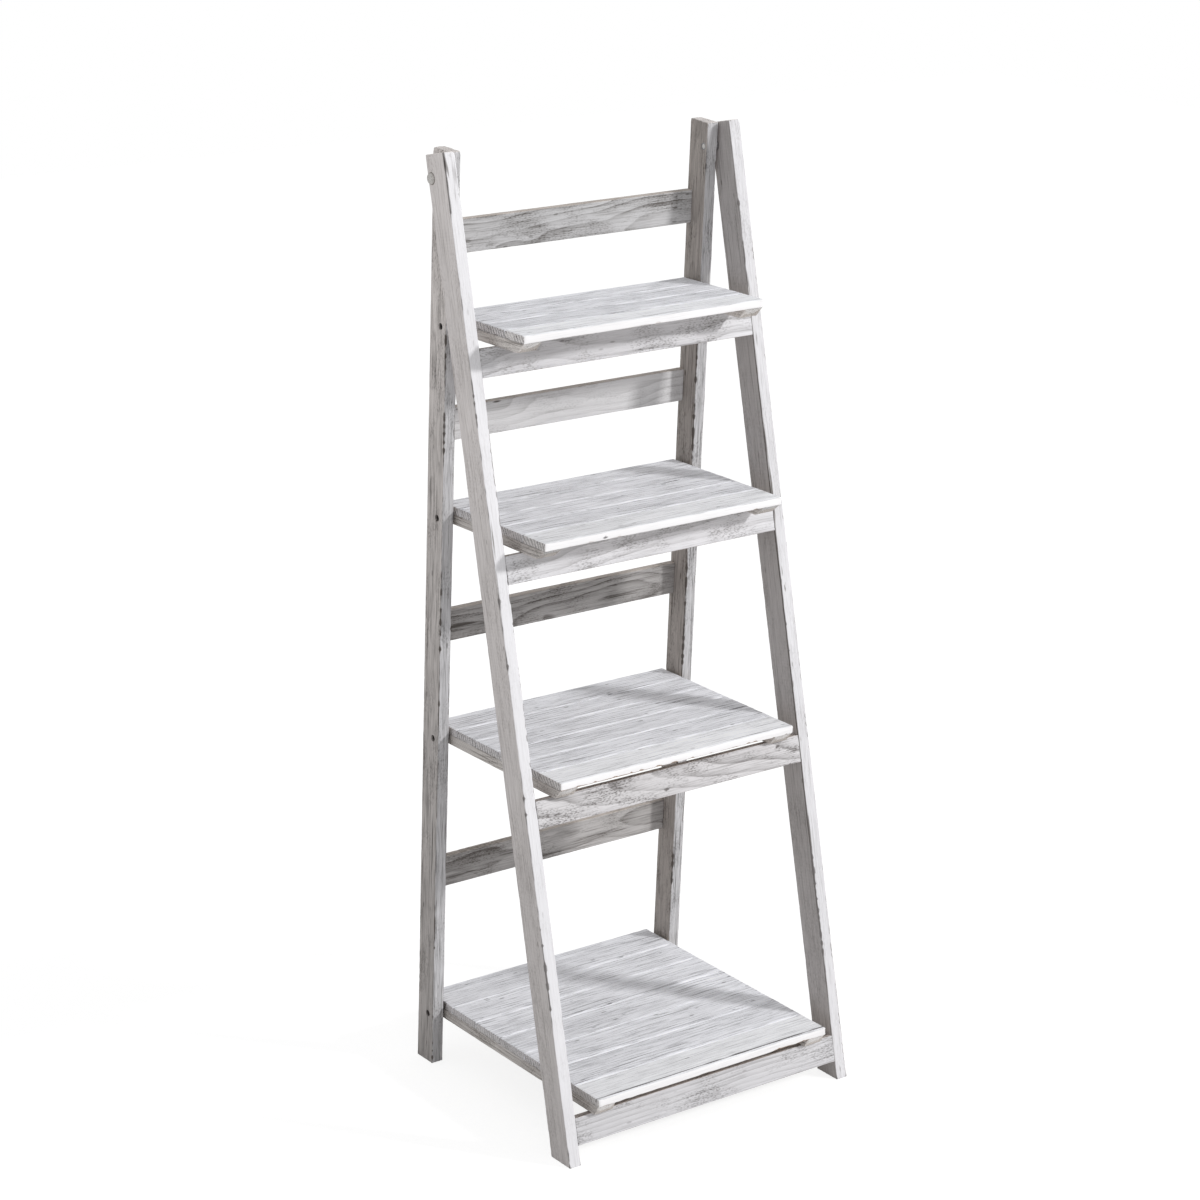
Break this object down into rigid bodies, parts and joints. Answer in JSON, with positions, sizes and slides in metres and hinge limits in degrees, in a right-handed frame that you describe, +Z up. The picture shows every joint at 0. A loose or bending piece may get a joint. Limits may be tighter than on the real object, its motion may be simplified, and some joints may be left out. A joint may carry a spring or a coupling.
{
  "type": "plant ladder stand",
  "caption": "Folding A-frame ladder stand in whitewashed wood, with slatted shelves that grow deeper towards the floor and hinge up on the rear legs.",
  "frame": {"origin": "floor level, below the middle of the stand's width and half-way between the front and back edges of its bottom shelf", "axes": "+Z up, -Y to the front, where the shelves are reached, +X to the right seen from the front"},
  "size_m": [0.4048, 0.3546, 1.1057],
  "materials": {
    "leg_wood": "brushed whitewash over grey-brown wood, worn at the edges",
    "rail_wood": "brushed whitewash over grey-brown wood, worn at the edges",
    "slat_wood": "brushed whitewash with grey grain, nearly white on the front edge",
    "cleat_wood": "thin whitewash with saw marks",
    "bolt_steel": "flat round head under thin whitewash",
    "zinc_steel": "zinc plated",
    "dark_steel": "blackened",
    "black_nylon": "matt"
  },
  "bodies": {
    "rear_frame": {"rear_leg_left": "leg_wood", "rear_leg_right": "leg_wood", "bottom_rear_rail": "rail_wood", "lower_rear_rail": "rail_wood", "upper_rear_rail": "rail_wood", "top_rear_rail": "rail_wood", "top_bolts": "bolt_steel", "top_washers": "zinc_steel", "top_nuts": "zinc_steel"},
    "front_frame": {"front_leg_left": "leg_wood", "front_leg_right": "leg_wood", "bottom_front_rail": "rail_wood", "lower_front_rail": "rail_wood", "upper_front_rail": "rail_wood", "top_front_rail": "rail_wood"},
    "bottom_shelf": {"bottom_shelf_slat_1": "slat_wood", "bottom_shelf_slat_2": "slat_wood", "bottom_shelf_slat_3": "slat_wood", "bottom_shelf_slat_4": "slat_wood", "bottom_shelf_slat_5": "slat_wood", "bottom_shelf_slat_6": "slat_wood", "bottom_shelf_slat_7": "slat_wood", "bottom_shelf_cleat_left": "cleat_wood", "bottom_shelf_cleat_right": "cleat_wood", "bottom_shelf_batten": "cleat_wood", "bottom_shelf_hinge_screws": "dark_steel", "bottom_shelf_spacers": "black_nylon", "bottom_shelf_slat_screws": "zinc_steel"},
    "lower_shelf": {"lower_shelf_slat_1": "slat_wood", "lower_shelf_slat_2": "slat_wood", "lower_shelf_slat_3": "slat_wood", "lower_shelf_slat_4": "slat_wood", "lower_shelf_slat_5": "slat_wood", "lower_shelf_slat_6": "slat_wood", "lower_shelf_cleat_left": "cleat_wood", "lower_shelf_cleat_right": "cleat_wood", "lower_shelf_batten": "cleat_wood", "lower_shelf_hinge_screws": "dark_steel", "lower_shelf_spacers": "black_nylon", "lower_shelf_slat_screws": "zinc_steel"},
    "upper_shelf": {"upper_shelf_slat_1": "slat_wood", "upper_shelf_slat_2": "slat_wood", "upper_shelf_slat_3": "slat_wood", "upper_shelf_slat_4": "slat_wood", "upper_shelf_slat_5": "slat_wood", "upper_shelf_cleat_left": "cleat_wood", "upper_shelf_cleat_right": "cleat_wood", "upper_shelf_batten": "cleat_wood", "upper_shelf_hinge_screws": "dark_steel", "upper_shelf_spacers": "black_nylon", "upper_shelf_slat_screws": "zinc_steel"},
    "top_shelf": {"top_shelf_slat_1": "slat_wood", "top_shelf_slat_2": "slat_wood", "top_shelf_slat_3": "slat_wood", "top_shelf_slat_4": "slat_wood", "top_shelf_cleat_left": "cleat_wood", "top_shelf_cleat_right": "cleat_wood", "top_shelf_batten": "cleat_wood", "top_shelf_hinge_screws": "dark_steel", "top_shelf_spacers": "black_nylon", "top_shelf_slat_screws": "zinc_steel"}
  },
  "joints": [
    {"name": "frame_fold", "type": "hinge", "parent": "rear_frame", "child": "front_frame", "pos_m": [0, 0.08208, 1.07417], "axis": [1, 0, 0], "range_deg": [0, 15.3]},
    {"name": "bottom_shelf_lift", "type": "hinge", "parent": "rear_frame", "child": "bottom_shelf", "pos_m": [0, 0.14676, 0.063], "axis": [-1, 0, 0], "range_deg": [0, 86.6]},
    {"name": "lower_shelf_lift", "type": "hinge", "parent": "rear_frame", "child": "lower_shelf", "pos_m": [0, 0.1257, 0.4175], "axis": [-1, 0, 0], "range_deg": [0, 86.6]},
    {"name": "upper_shelf_lift", "type": "hinge", "parent": "rear_frame", "child": "upper_shelf", "pos_m": [0, 0.10981, 0.685], "axis": [-1, 0, 0], "range_deg": [0, 86.6]},
    {"name": "top_shelf_lift", "type": "hinge", "parent": "rear_frame", "child": "top_shelf", "pos_m": [0, 0.09662, 0.907], "axis": [-1, 0, 0], "range_deg": [0, 86.6]}
  ]
}
